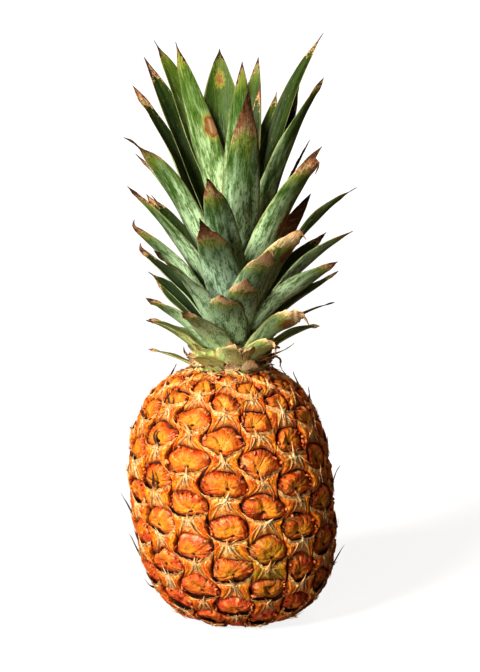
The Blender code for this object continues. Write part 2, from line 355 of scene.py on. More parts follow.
def eye_material():
    """Plump orange eye: yellow middle, redder rim, painted shade in the folds that run from its pucker
    and in the pucker itself, painted highlights on the crests of its rays.
    """
    material, tree, shader = new_material("eye_rind", 0.34, 0.14)
    shader.inputs["Specular IOR Level"].default_value = 0.15
    rim, pleat, tone, turn, pucker = read_all(tree, "eye_rim", "pleat", "eye_tone", "eye_turn",
                                              "pucker")
    cloud = speckle(tree, 200.0, 4.0, 0.6)
    fine = speckle(tree, 650.0, 3.0, 0.55)
    warm = tint(remap(cloud, 0.38, 0.62), (0.65, 0.07, 0.012), (0.8, 0.2, 0.016))
    yellow = remap(fine * 0.9 + rim, 0.5, 1.3, 0.85, 0.0)
    warm = tint(yellow, warm, (0.823, 0.4, 0.034))
    blush = use_group(tree, MOTTLING, Patches_per_metre=95.0, Amount=0.5, Ragged=0.55)
    warm = tint(blush * (tone * 0.75 + 0.1), warm, (0.504, 0.026, 0.017))
    rays = streaks(turn, pucker, tone, 11.0, 0.8)
    outer = remap(rim, 0.35, 0.85)
    # pale crests of the rays on the eye's outer part: painted highlight
    painted_ridge_highlight = remap(rays, 0.54, 0.64, 0.0, 0.65) * outer
    warm = tint(painted_ridge_highlight, warm, (0.823, 0.6, 0.172))
    # dark hollows between the rays: painted shade
    painted_groove_shade = remap(rays, 0.44, 0.34, 0.0, 0.85) * (outer * 0.6 + 0.4)
    warm = tint(painted_groove_shade, warm, (0.36, 0.035, 0.004))
    # cream flecks: partly the eye's own cream patches, partly painted glints
    warm = tint(remap(fine, 0.58, 0.72, 0.0, 0.65), warm, (0.84, 0.66, 0.272))
    warm = tint(reading(tree, "low_down") * 0.55, warm, (0.504, 0.048, 0.02))
    unripe = reading(tree, "green") * remap(cloud, 0.3, 0.55)
    warm = tint(unripe * 0.75, warm, (0.32, 0.28, 0.01))
    red = remap(fine * 0.6 + rim, 1.12, 1.32, 0.0, 0.85)
    warm = tint(red, warm, (0.24, 0.014, 0.003))
    ticks = streaks(turn, pucker, tone, 13.0, 1.4)
    patchy = remap(speckle(tree, 330.0, 3.0), 0.42, 0.58, 0.15, 1.0)
    brink = remap(rim, 0.66, 0.9) * patchy
    pale_tick = brink * remap(ticks, 0.52, 0.62, 0.0, 0.6)
    warm = tint(pale_tick, warm, (0.84, 0.62, 0.272))
    dark_tick = brink * remap(ticks, 0.46, 0.36, 0.0, 0.9)
    warm = tint(dark_tick, warm, (0.16, 0.01, 0.003))
    end = fine * 0.7 + abs(reading(tree, "eye_side"))
    warm = tint(remap(end, 1.08, 1.32, 0.0, 0.75), warm, (0.17, 0.012, 0.006))
    # dark in the folds of the cushion: painted shade
    warm = tint(remap(pleat, 0.28, 0.72, 0.0, 0.95), warm, (0.11, 0.012, 0.002))
    # dark in the pit of the pucker: painted shade
    pucker_shade = remap(pucker, 0.15, 0.05, 0.0, 0.95)
    warm = tint(pucker_shade, warm, (0.05, 0.008, 0.002))
    put(shader.inputs["Roughness"], remap(fine, 0.3, 0.7, 0.22, 0.45))
    height = rays * (outer * 1.3 + 0.3) + fine * 0.8
    cover(shader, warm, height, 1.0, 0.0012)
    return material


def bead_material():
    """Withered beads: maroon flanks with a pale top that is a painted highlight."""
    material, tree, shader = new_material("eye_bead", 0.4)
    tone, top = read_all(tree, "bead_tone", "bead_top")
    fine = speckle(tree, 1800.0, 3.0)
    body = tint(tone, (0.16, 0.012, 0.006), (0.66, 0.15, 0.02))
    # pale top of each bead: painted highlight
    lit = remap(top, 0.45, 0.95) * remap(tone, 0.35, 1.0)
    colour = tint(lit * 0.8, body, (0.88, 0.5, 0.22))
    cover(shader, colour, fine, 0.6, 0.0004)
    return material


def bract_material():
    """Bract under each eye: smooth orange cheeks, a fibrous tan middle and dry pale edges, with painted
    highlight flecks on the cheeks and painted shade in its wrinkles, rib valleys, beside its ridges and
    along its sunken edges.
    """
    material, tree, shader = new_material("bract", 0.5, 0.15)
    shader.inputs["Specular IOR Level"].default_value = 0.15
    across, down, tone, fan, reach, fold, rib = read_all(tree, "bract_across", "bract_down",
                                                         "eye_tone", "bract_fan", "bract_reach",
                                                         "bract_fold", "rib")
    side = abs(across)
    cloud = speckle(tree, 260.0, 5.0, 0.62)
    fine = speckle(tree, 900.0, 4.0, 0.65)
    cheek = tint(remap(cloud, 0.4, 0.6), (0.92, 0.155, 0.012), (1.0, 0.37, 0.02))
    # pale flecks on the cheeks: painted highlights
    cheek = tint(remap(fine, 0.56, 0.68, 0.0, 0.75), cheek, (0.98, 0.66, 0.22))
    cheek = tint(remap(fine, 0.46, 0.33, 0.0, 0.65), cheek, (0.62, 0.07, 0.012))
    wrinkle = streaks(fold, down, tone, 0.62, 2.2)
    # dark lines in the wrinkle grooves beside the folds: painted shade
    line = remap(abs(wrinkle - 0.5), 0.045, 0.0)
    cheek = tint(line * 0.5, cheek, (0.22, 0.022, 0.003))
    streak = streaks(fan, reach, tone, 6.5, 1.6)
    fibrous = tint(remap(fine, 0.38, 0.62), (0.96, 0.3, 0.022), (1.0, 0.58, 0.14))
    pale = (fine - 0.5) * 0.6 + streak + remap(reach, 0.1, 0.75, 0.14, 0.0)
    fibrous = tint(remap(pale, 0.48, 0.58, 0.0, 0.95), fibrous, (1.0, 0.88, 0.5))
    fibrous = tint(remap(pale, 0.42, 0.32, 0.0, 0.55), fibrous, (0.6, 0.1, 0.007))
    within = remap(streak * 1.6 + fold, 1.4, 0.3)
    faded = remap(streak * 0.8 + down, 0.8, 1.35, 1.0, 0.35)
    colour = tint(within * faded, cheek, fibrous)
    edge_line = remap(abs(fine * 0.6 + fold), 0.75, 0.2)
    edge_line = edge_line * remap(down, 0.08, 0.25) * remap(down, 1.0, 0.6, 0.35, 1.0)
    colour = tint(edge_line * 0.8, colour, (0.98, 0.66, 0.27))
    # dark line at the inner foot of each raised fold ridge: painted shade
    ridge_shade_line = remap(abs(fold + 1.3), 0.65, 0.15) * remap(down, 0.2, 0.4)
    colour = tint(ridge_shade_line * 0.6, colour, (0.3, 0.03, 0.004))
    unripe = reading(tree, "green") * remap(cloud, 0.3, 0.55)
    colour = tint(unripe * 0.8, colour, (0.3, 0.3, 0.012))
    # dark in the valleys between the ribs near the star: painted shade
    slit_shade = remap(rib, -0.5, -0.8) * remap(reach, 0.8, 0.3) * remap(fold, 0.4, -0.3)
    colour = tint(slit_shade * 0.6, colour, (0.14, 0.018, 0.003))
    colour = tint(reading(tree, "low_down") * 0.45, colour, (0.454, 0.05, 0.02))
    # dark along the bract's sunken lower edge next to the eye below: painted shade
    low_edge_shade = remap(fine * 0.25 + down, 1.0, 1.14, 0.0, 0.6)
    colour = tint(low_edge_shade, colour, (0.34, 0.035, 0.004))
    # thin dark line where the bract's sides sink towards the neighbouring eyes: painted shade
    flank_shade = remap(fine * 0.2 + side, 1.03, 1.1, 0.0, 0.8)
    colour = tint(flank_shade * remap(down, 0.08, 0.2), colour, (0.12, 0.012, 0.002))
    worn = remap(speckle(tree, 420.0, 4.0, 0.7), 0.35, 0.6, 0.06, 0.27)
    worn = worn * remap(side, 0.0, 1.0, 1.5, 0.45, smooth=False)
    straw = tint(remap(fine, 0.38, 0.6), (0.92, 0.42, 0.08), (1.0, 0.76, 0.36))
    colour = tint(calc("LESS_THAN", down, worn) * 0.92, colour, straw)
    specks = remap(speckle(tree, 1500.0, 2.0), 0.66, 0.74, 0.0, 0.45)
    colour = tint(specks, colour, (0.14, 0.018, 0.003))
    put(shader.inputs["Roughness"], remap(fine, 0.3, 0.7, 0.3, 0.58))
    height = streak * (within * 1.2 + 0.2) + fine * 1.3 + edge_line * 0.8 - line * 0.6
    cover(shader, colour, height, 1.0, 0.0006)
    return material


def point_material():
    """Dry pale points of the bracts, dark at the end where they are long."""
    material, tree, shader = new_material("bract_point", 0.6)
    along, dark = read_all(tree, "point_along", "point_dark")
    fine = speckle(tree, 1500.0, 3.0)
    cream = tint(reading(tree, "point_tone"), (0.9, 0.36, 0.07), (1.0, 0.84, 0.48))
    cream = tint(remap(fine, 0.5, 0.7, 0.0, 0.6), cream, (1.0, 0.88, 0.56))
    browned = remap(along, 0.1, 0.45) * dark
    colour = tint(browned, cream, (0.045, 0.018, 0.01))
    cover(shader, colour, fine, 0.4, 0.0004)
    return material


def leaf_material():
    """Crown leaf: pale bloom rubbed off in patches, inner face darkened with painted shade, dried brown
    end.
    """
    material, tree, shader = new_material("leaf_blade", 0.5)
    shader.inputs["Specular IOR Level"].default_value = 0.22
    along, across, side_run, run, inner, tone, hue, start = read_all(tree, "leaf_along",
                                                                     "leaf_across", "leaf_side",
                                                                     "leaf_run", "leaf_inner",
                                                                     "leaf_tone", "leaf_hue",
                                                                     "dry_start")
    side = abs(across)
    streak = streaks(side_run, run, tone, 700.0, 18.0)
    fine = streaks(side_run, run, tone, 2600.0, 60.0)
    rubbed = streaks(side_run, run, tone, 300.0, 70.0)
    scuffed = streaks(side_run, run, hue, 1500.0, 330.0)
    bloom = tint(hue, (0.72, 0.97, 0.74), (0.7, 0.9, 0.36))
    bare = tint(hue, (0.06, 0.165, 0.036), (0.155, 0.245, 0.02))
    waxy = (0.5 - rubbed) * 1.7 + reading(tree, "bloom")
    waxy = 0.5 - streak + waxy
    green = tint(remap(waxy, 0.2, 0.95, 0.0, 0.92), bare, bloom)
    ripe = (streak - 0.5) * 0.25 + along - start
    green = tint(remap(ripe, -0.42, -0.12, 0.0, 0.5), green, bare)
    green = tint(remap(ripe, -0.13, -0.01, 0.0, 0.8), green, (0.4, 0.46, 0.06))
    scuff = rubbed * 0.55 + scuffed
    green = tint(remap(scuff, 0.76, 0.9, 0.0, 0.75), green, (0.035, 0.1, 0.014))
    green = tint(remap(fine, 0.56, 0.72, 0.0, 0.5), green, (0.78, 0.88, 0.58))
    # inner face: darker green than the bloom, made near black as painted shade
    under = tint(remap(streak, 0.36, 0.64), (0.006, 0.016, 0.003), (0.04, 0.075, 0.012))
    green = tint(inner * 0.92, green, under)
    foot = reading(tree, "leaf_low") * remap(streak, 0.3, 0.7, 0.3, 1.0)
    green = tint(foot, green, (0.8, 0.94, 0.34))
    green = tint(remap(side, 0.88, 0.99, 0.0, 0.5), green, (0.4, 0.36, 0.14))
    tan_edge = remap(scuffed * 0.5 + side, 1.02, 1.22) * reading(tree, "leaf_low")
    green = tint(tan_edge, green, (0.8, 0.56, 0.26))
    spot = remap(tone * 0.03 + speckle(tree, 110.0, 5.0, 0.7), 0.68, 0.72, 0.0, 0.8)
    green = tint(spot, green, (0.3, 0.15, 0.045))
    hurt = (scuffed - 0.5) * 1.2 + reading(tree, "damage")
    green = tint(remap(hurt, 0.1, 0.34, 0.0, 0.7), green, (0.44, 0.4, 0.05))
    green = tint(remap(hurt, 0.34, 0.5), green, (0.3, 0.11, 0.035))
    scab = tint(remap(streak, 0.4, 0.6), (0.34, 0.17, 0.07), (0.58, 0.38, 0.2))
    green = tint(remap(hurt, 0.55, 0.8, 0.0, 0.9), green, scab)
    edged = side ** 2.0 * 0.07 + along + (streak - 0.5) * 0.16
    dry = use_group(tree, DRIED, Along=edged, Start=start, Wander=0.3)
    dried = colour_steps(dry, ((0.0, (0.58, 0.52, 0.14)), (0.12, (0.74, 0.54, 0.26)),
                               (0.36, (0.42, 0.17, 0.065)), (0.66, (0.19, 0.055, 0.022)),
                               (1.0, (0.025, 0.012, 0.009))))
    straw = colour_steps(dry, ((0.0, (0.62, 0.54, 0.16)), (0.2, (0.92, 0.72, 0.42)),
                               (0.6, (0.84, 0.56, 0.28)), (1.0, (0.36, 0.17, 0.08))))
    dried = tint(reading(tree, "straw"), dried, straw)
    dried = tint(remap(fine, 0.48, 0.66, 0.0, 0.5), dried, (0.075, 0.022, 0.01))
    colour = tint(remap(dry, 0.0, 0.14), green, dried)
    rough = remap(rubbed, 0.4, 0.65, 0.55, 0.36, smooth=False)
    put(shader.inputs["Roughness"], dry * 0.25 + rough)
    height = fine * 0.5 + streak
    height = height + dry * scuffed * 2.0
    cover(shader, colour, height, 0.4, 0.001)
    return material


def dried_bract_material():
    """Papery brown and straw-coloured bracts where the crown meets the fruit."""
    material, tree, shader = new_material("dried_bract", 0.7)
    along, across, tone = read_all(tree, "leaf_along", "leaf_across", "leaf_tone")
    streak = streaks(across, along, tone, 12.0, 2.0)
    straw = tint(tone, (0.7, 0.17, 0.04), (0.76, 0.44, 0.18))
    straw = tint(remap(streak, 0.4, 0.62), (0.13, 0.05, 0.02), straw)
    colour = tint(remap(along, 0.45, 1.0, 0.0, 0.8), straw, (0.07, 0.022, 0.01))
    cover(shader, colour, streak, 0.6, 0.0006)
    return material


def stem_material():
    """Pale stem of the crown, seen only between the leaves' feet."""
    material, tree, shader = new_material("crown_stem", 0.7)
    cloud = speckle(tree, 240.0, 5.0, 0.6)
    colour = tint(remap(cloud, 0.35, 0.65), (0.09, 0.1, 0.035), (0.3, 0.3, 0.12))
    cover(shader, colour, cloud, 0.5, 0.0006)
    return material


def stalk_material():
    """Cut stalk: dry tan fibres end on, browner toward its edge."""
    material, tree, shader = new_material("stalk_cut", 0.85)
    pores = speckle(tree, 1400.0, 3.0, 0.7)
    cloud = speckle(tree, 220.0, 4.0)
    edge = reading(tree, "stalk_out")
    colour = tint(remap(pores, 0.42, 0.6), (0.24, 0.13, 0.055), (0.6, 0.44, 0.24))
    rings = cloud * 0.4 + edge
    colour = tint(remap(rings, 0.75, 1.2, 0.0, 0.9), colour, (0.12, 0.055, 0.025))
    cover(shader, colour, pores, 0.8, 0.0008)
    return material


def floor_material():
    """Plain pale floor."""
    material, tree, shader = new_material("pale_floor", 0.9)
    faint = speckle(tree, 3.0, 2.0)
    put(shader.inputs["Base Color"], tint(faint, (0.15, 0.15, 0.15), (0.17, 0.17, 0.17)))
    shader.inputs["Emission Color"].default_value = (1.0, 1.0, 1.0, 1.0)
    shader.inputs["Emission Strength"].default_value = 0.7
    return material


# ---------------------------------------------------------------- meshes from point sheets
def sheet_faces(rows, columns, start=0, wrap=False):
    """Quads of a sheet of points stored row by row."""
    row, column = np.mgrid[0:rows - 1, 0:columns - (0 if wrap else 1)]
    after = (column + 1) % columns
    first = start + row * columns + column
    second = start + row * columns + after
    return np.stack([first, second, second + columns, first + columns], -1).reshape(-1, 4)


def mesh_piece(name, points, faces, readings, material):
    """A smooth object from points and quads, with its readings at each point."""
    mesh = bpy.data.meshes.new(name)
    mesh.from_pydata([], [], [])
    mesh.vertices.add(len(points))
    mesh.vertices.foreach_set("co", np.asarray(points, np.float32).ravel())
    faces = np.asarray(faces, np.int32)
    mesh.loops.add(faces.size)
    mesh.loops.foreach_set("vertex_index", faces.ravel())
    mesh.polygons.add(len(faces))
    mesh.polygons.foreach_set("loop_start", np.arange(0, faces.size, faces.shape[1], dtype=np.int32))
    mesh.update(calc_edges=True)
    mesh.validate()
    mesh.shade_smooth()
    for label, values in readings.items():
        layer = mesh.attributes.new(label, "FLOAT", "POINT")
        layer.data.foreach_set("value", np.asarray(values, np.float32).ravel())
    mesh.materials.append(material)
    piece = bpy.data.objects.new(name, mesh)
    bpy.context.scene.collection.objects.link(piece)
    return piece


class Sheets:
    """Collects many sheets of points into one mesh."""

    def __init__(self):
        self.points, self.faces, self.readings, self.count = [], [], {}, 0

    def add_faces(self, points, faces, readings):
        """Take in points, their faces and a reading of each kind at every point."""
        self.points.append(points)
        self.faces.append(faces + self.count)
        self.count += len(points)
        for label, values in readings.items():
            self.readings.setdefault(label, []).append(values)

    def add(self, points, wrap=False, **readings):
        """Take in a sheet of points stored row by row."""
        rows, columns = points.shape[:2]
        spread = {label: np.broadcast_to(values, (rows, columns)).ravel()
                  for label, values in readings.items()}
        self.add_faces(points.reshape(-1, 3), sheet_faces(rows, columns, wrap=wrap), spread)

    def piece(self, name, material):
        """Make one object of all that was taken in."""
        joined = {label: np.concatenate(parts) for label, parts in self.readings.items()}
        return mesh_piece(name, np.concatenate(self.points), np.concatenate(self.faces), joined,
                          material)


def finish_piece(piece, slot, *nodes):
    """Ride on the one body and stand for the CAD nodes; the slot is not used."""
    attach(piece, "root")
    if nodes:
        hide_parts(*nodes)


def smooth_step(value, low, high):
    """0 below low, 1 above high, and an even slope between."""
    part = np.clip((value - low) / (high - low), 0.0, 1.0)
    return part * part * (3.0 - 2.0 * part)


def any_phase(rng):
    """A place on a wave, anywhere along it."""
    return rng.uniform(0, 6.3)


# ---------------------------------------------------------------- the rind's surface
def skin_radius(height):
    """Radius of the rind between the eyes at a height."""
    below = height < WIDEST_HEIGHT
    reach = np.where(below, LOWER_REACH, UPPER_REACH)
    power = np.where(below, LOWER_ROUNDNESS, UPPER_ROUNDNESS)
    part = np.clip(np.abs(height - WIDEST_HEIGHT) / reach, 0.0, 1.0)
    return FRUIT_RADIUS * (1.0 - part ** power) ** (1.0 / power)


def skin_profile():
    """Length along the skin, radius and height, from the stalk under the base to the crown.
    Length is 0 where the side of the fruit leaves the ground."""
    steps = np.linspace(0.0, pi, SIDE_POINTS)
    heights = FRUIT_TOP / 2.0 * (1.0 - np.cos(steps))
    radii = skin_radius(heights)
    hollow = np.linspace(0.0, 1.0, UNDER_POINTS, endpoint=False)
    under_radii = STALK_RADIUS + (radii[0] - STALK_RADIUS) * hollow
    under_heights = 0.0016 * (1.0 - hollow ** 2)
    shoulder = np.linspace(1.0, 0.0, 13)[1:]
    over_radii = 0.008 + (radii[-1] - 0.008) * shoulder
    over_heights = np.full(len(shoulder), FRUIT_TOP)
    radii = np.concatenate([under_radii, radii, over_radii])
    heights = np.concatenate([under_heights, heights, over_heights])
    lengths = np.concatenate([[0.0], np.cumsum(np.hypot(np.diff(radii), np.diff(heights)))])
    return lengths - lengths[UNDER_POINTS], radii, heights


SKIN_ALONG, SKIN_RADII, SKIN_HEIGHTS = skin_profile()
SKIN_LENGTH = SKIN_ALONG[UNDER_POINTS + SIDE_POINTS - 1]
SLOPE_OUT = np.gradient(SKIN_RADII, SKIN_ALONG)
SLOPE_UP = np.gradient(SKIN_HEIGHTS, SKIN_ALONG)


def on_skin(azimuth, along, lift):
    """Points over the skin at an azimuth and a length along it, lifted off it. Neighbouring
    eyes are pushed about together, so that no two have the same outline."""
    push_x = sum(0.00055 * np.sin(turns * azimuth + steep * along + turns)
                 for turns, steep in ((7, 190), (-12, 260), (19, 90), (-5, 330)))
    push_y = sum(0.00050 * np.sin(turns * azimuth + steep * along + 2.0 * turns)
                 for turns, steep in ((9, 160), (-14, 230), (21, 120), (-6, 300)))
    calm = smooth_step(along, 0.0, 0.015)
    azimuth = azimuth + calm * push_x / FRUIT_RADIUS
    along = along + calm * push_y
    radius = np.interp(along, SKIN_ALONG, SKIN_RADII)
    height = np.interp(along, SKIN_ALONG, SKIN_HEIGHTS)
    out = np.interp(along, SKIN_ALONG, SLOPE_UP)
    up = -np.interp(along, SKIN_ALONG, SLOPE_OUT)
    scale = np.hypot(out, up)
    radius = radius + out / scale * lift
    height = np.maximum(height + up / scale * lift, 0.0002)
    bow = AXIS_BOW * (1.0 - np.cos(pi * height / BOW_HEIGHT)) / 2.0
    return np.stack([radius * np.sin(azimuth) + bow, -radius * np.cos(azimuth), height], -1)


def eye_list():
    """Azimuth, length along the skin, radius there and tallness of each eye, up the spiral."""
    places = []
    for direction in (1, -1):
        turn, along = EYE_START, 0.0
        while -0.010 < along < SKIN_LENGTH + 0.006:
            radius = float(np.interp(along, SKIN_ALONG, SKIN_RADII))
            tall = (radius / FRUIT_RADIUS) ** EYE_CROWDING
            if direction > 0 or along < 0.0:
                places.append((turn, along, radius, tall))
            along += direction * EYE_RISE * tall
            turn += direction * EYE_TURN
    return places


EYES = [(turn, along - EYE_SINK, radius, tall) for turn, along, radius, tall in eye_list()]


def end_fade(along):
    """How much of their relief the eyes keep near the base and the crown."""
    return smooth_step(along, -0.004, 0.012) * 0.85 + 0.15


def near_base(along):
    """1 at the redder base of the fruit, 0 from halfway up."""
    return 1.0 - smooth_step(along, 0.02, HALFWAY_UP)


def dome_sheet(rng, turn, along, radius, tall):
    """Points and readings of one plump eye: a cushion folded in toward its low pucker."""
    rings, spokes = 17, 72
    narrow = radius / FRUIT_RADIUS
    wide = HALF_WIDE * narrow * rng.uniform(0.95, 1.05)
    up = HALF_UP * tall * rng.uniform(0.94, 1.06)
    down = HALF_DOWN * tall * rng.uniform(0.94, 1.06)
    ring = np.linspace(0.0, 1.0, rings)[:, None] ** 0.8
    angle = np.linspace(0.0, 2.0 * pi, spokes, endpoint=False)[None, :]
    cosine, sine = np.cos(angle), np.sin(angle)
    power = np.where(sine > 0.0, 2.0 / rng.uniform(2.0, 2.25), 2.0 / rng.uniform(2.3, 2.8))
    wobble = 1.0
    for waves, depth in ((2, 0.035), (3, 0.035), (5, 0.022), (11, 0.012)):
        wobble = wobble + depth * np.sin(waves * angle + any_phase(rng))
    x = ring * np.sign(cosine) * np.abs(cosine) ** power * wobble * wide
    y = ring * np.sign(sine) * np.abs(sine) ** power * wobble
    y = np.where(y > 0.0, y * up, y * down) + x * rng.uniform(-0.10, 0.10)
    pucker_x = rng.uniform(-0.10, 0.14) * wide
    pucker_y = -rng.uniform(0.20, 0.42) * down
    far = np.hypot((x - pucker_x) / wide, (y - pucker_y) / up)
    heading = np.arctan2((y - pucker_y) / up, (x - pucker_x) / wide)
    bent = heading + 0.30 * np.sin(2 * heading + any_phase(rng)) \
        + 0.18 * np.sin(3 * heading + any_phase(rng)) + 0.35 * far * rng.uniform(-1, 1)
    deep = (1.0 - np.abs(np.sin(bent * 2.5 + any_phase(rng)))) ** 3.2
    fine = (1.0 - np.abs(np.sin(bent * 8.5 + any_phase(rng)))) ** 4
    strength = 0.55 + 0.45 * np.sin(heading * 2 + any_phase(rng))
    pleat = deep * (0.35 + 0.65 * strength) * np.exp(-(far / 0.75) ** 2) \
        + fine * 0.45 * smooth_step(far, 0.2, 0.9)
    pleat = pleat * smooth_step(far, 0.02, 0.12)
    plump = rng.uniform(0.0025, 0.0034) * (0.6 + 0.4 * tall)
    full = np.clip(1.0 - ring ** 6.0, 0.0, 1.0) ** 0.52
    cushion = 0.0008 * np.sin(np.clip(ring, 0, 1) * pi) ** 2
    lift = -0.0018 + plump * full + cushion + 0.0006 * np.clip(y / up, -1, 1) * full
    lift = lift - 0.0018 * pleat * full
    lift = lift - 0.0008 * np.exp(-(far / 0.30) ** 2) - 0.0014 * np.exp(-(far / 0.075) ** 2)
    lift = lift + 0.0004 * np.sin(x / wide * 2.6 + any_phase(rng)) * full
    for _ in range(7):
        count = rng.uniform(900.0, 2300.0)
        facing = rng.uniform(0, pi)
        ripple = np.sin((x * np.cos(facing) + y * np.sin(facing)) * count + any_phase(rng))
        lift = lift + 0.11 / count * ripple * full * smooth_step(far, 0.05, 0.4)
    lift = lift * end_fade(along)
    points = on_skin(turn + x / radius, along + y, lift)
    return points, dict(eye_rim=ring + 0.0 * angle, pleat=pleat, eye_tone=rng.uniform(0, 1),
                        eye_turn=bent / pi, pucker=far, green=greenness(turn, along),
                        eye_side=x / wide, low_down=near_base(along))


def greenness(azimuth, along):
    """Unripe green that lingers on a few patches of the rind."""
    total = 0.0
    for spot_turn, spot_along, size in GREEN_SPOTS:
        turned = (azimuth - radians(spot_turn) + pi) % (2.0 * pi) - pi
        far = np.hypot(turned * FRUIT_RADIUS, along - spot_along) / size
        total = total + np.exp(-far ** 2)
    return total


def make_halves(name, seed, material, sheet, turned=False, stands_for=()):
    """One sheet for every eye of the rind, gathered in a lower and an upper piece."""
    rng = np.random.default_rng(seed)
    low, high = Sheets(), Sheets()
    for eye in EYES:
        points, readings = sheet(rng, *eye)
        if turned:
            readings = {label: np.flipud(np.broadcast_to(values, points.shape[:2]))
                        for label, values in readings.items()}
            points = points[::-1]
        (low if eye[1] < HALFWAY_UP else high).add(points, wrap=not turned, **readings)
    finish_piece(low.piece(f"{name}_low", material), "fruit_skin", *stands_for)
    finish_piece(high.piece(f"{name}_high", material), "fruit_skin")


def make_beads():
    """Small withered beads, the flower remains, that crowd both ends and the rim of each eye."""
    rng = np.random.default_rng(19)
    sheets = Sheets()
    polar = np.linspace(0.02, pi - 0.02, 6)[:, None]
    round_ = np.linspace(0.0, 2.0 * pi, 9, endpoint=False)[None, :]
    for turn, along, radius, tall in EYES:
        narrow = radius / FRUIT_RADIUS
        for _ in range(rng.integers(8, 13)):
            end = rng.choice((-1.0, 1.0))
            heading = rng.normal(-0.05, 0.42) if rng.uniform() < 0.75 else rng.uniform(0.4, 1.4)
            inset = rng.uniform(0.80, 0.97)
            x0 = end * np.cos(heading) * inset * HALF_WIDE * narrow
            y0 = np.sin(heading) * inset * (HALF_UP if heading > 0 else HALF_DOWN) * tall
            size = rng.uniform(0.00035, 0.00085)
            long_way = rng.uniform(1.0, 2.0)
            spin = rng.uniform(0, pi)
            x = np.sin(polar) * np.cos(round_) * size * long_way
            y = np.sin(polar) * np.sin(round_) * size
            x, y = x * np.cos(spin) - y * np.sin(spin), x * np.sin(spin) + y * np.cos(spin)
            lift = (rng.uniform(0.0011, 0.0020) + np.cos(polar) * size * 1.2) * end_fade(along)
            points = on_skin(turn + (x0 + x) / radius, along + y0 + y, lift)
            sheets.add(points, wrap=True, bead_tone=rng.uniform(0, 1), bead_top=np.cos(polar))
    finish_piece(sheets.piece("eye_beads", bead_material()), "fruit_skin")


def bract_sheet(rng, turn, along, radius, tall):
    """Points and readings of the bract under one eye: two arms up, a waist and two lobes down."""
    rows, columns = 26, 45
    narrow = radius / FRUIT_RADIUS
    across = np.sin(np.linspace(-1.25, 1.25, columns))[None, :] / np.sin(1.25)
    down = (np.linspace(0.0, 1.0, rows) ** 1.25)[:, None]
    arm = rng.uniform(0.0122, 0.0130)
    waist = rng.uniform(0.0082, 0.0088)
    lobe = rng.uniform(0.0098, 0.0106)
    upper = waist + (arm - waist) * np.clip(1.0 - down / 0.45, 0, 1) ** 1.5
    lower = waist + (lobe - waist) * np.clip((down - 0.45) / 0.55, 0, 1) ** 1.4
    half = np.where(down < 0.45, upper, lower)
    x = across * half
    share = np.abs(x) / HALF_WIDE
    jag = 0.00035 * np.sin(x * 1900 + any_phase(rng)) * rng.uniform(0.3, 1.0)
    top = -0.0055 + 0.0047 * share ** 2.5 + jag
    bottom = -PITCH_UP + 0.0081 - 0.0048 * (np.abs(x) / 0.0110) ** 2.6
    y = top + (bottom - top) * down
    fold_x = 0.0026 + rng.uniform(0.0046, 0.0060) * down ** 2.6
    fold = (np.abs(x) - fold_x) / 0.001
    reach = np.hypot(x, y + FAN_ROOT) / 0.0085
    fan = np.arctan2(x, -FAN_ROOT - y)
    rib = 0.0
    for place in (-0.95, -0.5, -0.05, 0.45, 0.9):
        centre = place + rng.uniform(-0.14, 0.14)
        rib = rib + np.exp(-((fan - centre) / 0.14) ** 2)
    rib = rib * 1.6 - 0.8
    inside = 1.0 - smooth_step(fold, -0.8, 0.6)
    lift = 0.0022 - 0.0008 * down - 0.0006 * down ** 3
    lift = lift + 0.0009 * np.exp(-(down / 0.07) ** 2) * (1.0 - 0.4 * share)
    lift = lift - 0.0003 * np.exp(-((down - 0.16) / 0.10) ** 2)
    lift = lift + 0.0009 * smooth_step(fold, 0.2, 2.5) * smooth_step(down, 0.10, 0.35)
    lift = lift + 0.0008 * np.exp(-(fold / 0.6) ** 2) * smooth_step(down, 0.05, 0.3)
    lift = lift + 0.00045 * rib * inside * np.exp(-((reach - 0.35) / 0.5) ** 2)
    lift = lift + 0.0010 * np.exp(-(x / 0.0014) ** 2) * np.exp(-(reach / 0.5) ** 2)
    lift = lift + 0.00016 * np.sin(fan * 13 + any_phase(rng)) * inside
    lift = lift - 0.0032 * np.abs(across) ** 24 * smooth_step(down, 0.02, 0.30)
    lift = lift - 0.0017 * down ** 16
    lift = lift * end_fade(along - 0.010)
    points = on_skin(turn + (x * narrow + rng.uniform(-0.0003, 0.0003)) / radius,
                     along + y * tall, lift)
    skin_turn = turn + x / FRUIT_RADIUS
    return points, dict(bract_across=across, bract_down=down, bract_fan=fan, bract_reach=reach,
                        rib=rib, bract_fold=fold, eye_tone=rng.uniform(0, 1),
                        low_down=near_base(along),
                        green=greenness(skin_turn, along + y * tall))


def spike_sheet(path, widths, thicks, sideways, outward, sides=6):
    """A tapering flat tube of points along a path."""
    angle = np.linspace(0.0, 2.0 * pi, sides, endpoint=False)[None, :, None]
    return (path[:, None, :] + widths[:, None, None] * np.cos(angle) * sideways[:, None, :]
            + thicks[:, None, None] * np.sin(angle) * outward[:, None, :])


def fibre(sheets, turn, along, radius, x, y, lift, thick, flat, sides, dark, tone):
    """One dry fibre or point laid over the skin, from its root to its fine end."""
    part = np.linspace(0.0, 1.0, len(x))
    path = on_skin(turn + x / radius, along + y, lift)
    path[:, 2] = np.maximum(path[:, 2], 0.0006)
    outward = on_skin(turn + x / radius, along + y, lift + 0.001) - path
    outward /= np.linalg.norm(outward, axis=1)[:, None]
    side = np.cross(np.gradient(path, axis=0), outward)
    side /= np.linalg.norm(side, axis=1)[:, None]
    sheets.add(spike_sheet(path, thick, thick * flat, side, outward, sides), wrap=True,
               point_along=part[:, None], point_dark=dark, point_tone=tone)


